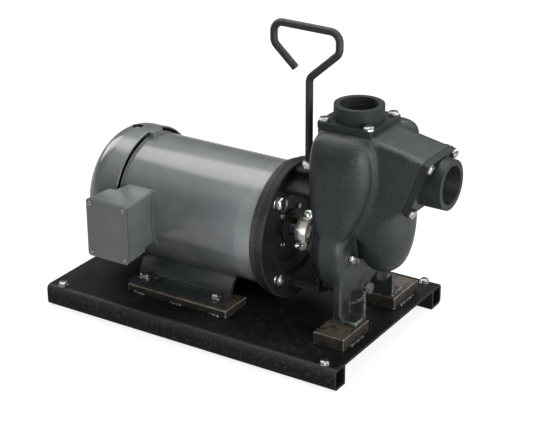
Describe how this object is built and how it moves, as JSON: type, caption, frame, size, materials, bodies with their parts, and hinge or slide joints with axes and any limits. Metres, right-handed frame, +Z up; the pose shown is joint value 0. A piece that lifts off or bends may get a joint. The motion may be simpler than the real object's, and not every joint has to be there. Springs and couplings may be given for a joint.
{
  "type": "self-priming centrifugal pump",
  "caption": "Self-priming centrifugal pump close-coupled by an open bracket to a fan-cooled electric motor, on a formed steel skid with a bent lifting handle.",
  "frame": {"origin": "centre of the four anchor holes in the underside of the skid's rails, on the plane the skid stands on", "axes": "+Z up, +X along the shaft from the motor to the suction port, +Y to the side away from the conduit box"},
  "size_m": [0.6437, 0.3588, 0.5028],
  "materials": {
    "skid_paint": "black paint worn brown on its upper face",
    "bare_steel": "bare flat bar with mill scale and light rust",
    "motor_paint": "mid-grey semi-gloss paint",
    "motor_casting": "grey paint on cast metal",
    "lamination": "stacked steel laminations",
    "winding": "varnished copper wire",
    "bright_steel": "ground steel",
    "clamp_steel": "plain cast steel, tumbled",
    "zinc": "bright zinc plate",
    "black_rubber": "matte black",
    "fan_plastic": "moulded black",
    "pump_paint": "charcoal paint over rough casting",
    "cast_metal": "bare grey iron",
    "ceramic": "lapped ceramic",
    "plug_dark": "dark iron plug"
  },
  "bodies": {
    "frame": {"skid_base": "skid_paint", "corner_screws": "zinc", "motor_foot_bars": "bare_steel", "pump_foot_blocks": "bare_steel", "weld_beads": "bare_steel", "motor_feet": "motor_paint", "motor_foot_bolts": "zinc", "motor_shell": "motor_paint", "drive_end_bell": "motor_casting", "fan_end_bell": "motor_casting", "stator_core": "lamination", "stator_windings": "winding", "bearing_outer_rings": "bright_steel", "bearing_spring_washer": "bright_steel", "bearing_cap": "motor_casting", "bearing_cap_screws": "zinc", "fan_cover": "motor_paint", "fan_cover_screws": "zinc", "conduit_box": "motor_paint", "conduit_box_gasket": "black_rubber", "conduit_box_cover": "motor_paint", "conduit_cover_screws": "zinc", "adapter_bracket": "pump_paint", "adapter_bolts": "zinc", "lifting_handle": "pump_paint", "handle_nut": "zinc", "back_plate": "pump_paint", "back_plate_bolts": "zinc", "seal_seat": "ceramic", "wear_plate": "cast_metal", "pump_casing": "pump_paint", "casing_bolts": "zinc", "discharge_flange": "pump_paint", "discharge_gasket": "black_rubber", "discharge_bolts": "zinc", "suction_flange": "pump_paint", "suction_gasket": "black_rubber", "suction_bolts": "zinc", "flap_pin": "bright_steel", "prime_plug": "zinc", "drain_plug": "plug_dark"},
    "rotor": {"motor_shaft": "bright_steel", "shaft_key": "bright_steel", "rotor_core": "lamination", "bearing_inner_rings": "bright_steel", "shaft_slinger": "black_rubber", "cooling_fan": "fan_plastic", "pump_shaft": "bright_steel", "shaft_clamp_halves": "clamp_steel", "shaft_clamp_bolts": "zinc", "seal_head": "black_rubber", "impeller": "cast_metal", "impeller_screw": "zinc"},
    "ball_sets": {"bearing_ball_rings": "bright_steel"},
    "flap": {"flap_valve": "black_rubber", "flap_weight": "cast_metal"}
  },
  "joints": [
    {"name": "shaft_spin", "type": "hinge", "parent": "frame", "child": "rotor", "pos_m": [0, 0, 0.163], "axis": [1, 0, 0], "continuous": true},
    {"name": "ball_set_spin", "type": "hinge", "parent": "frame", "child": "ball_sets", "pos_m": [0, 0, 0.163], "axis": [1, 0, 0], "continuous": true},
    {"name": "flap_swing", "type": "hinge", "parent": "frame", "child": "flap", "pos_m": [0.33475, 0, 0.32869], "axis": [0, 1, 0], "range_deg": [0, 40]}
  ],
  "couplings": [
    {"joint": "ball_set_spin", "follows": "shaft_spin", "ratio": 0.396}
  ]
}
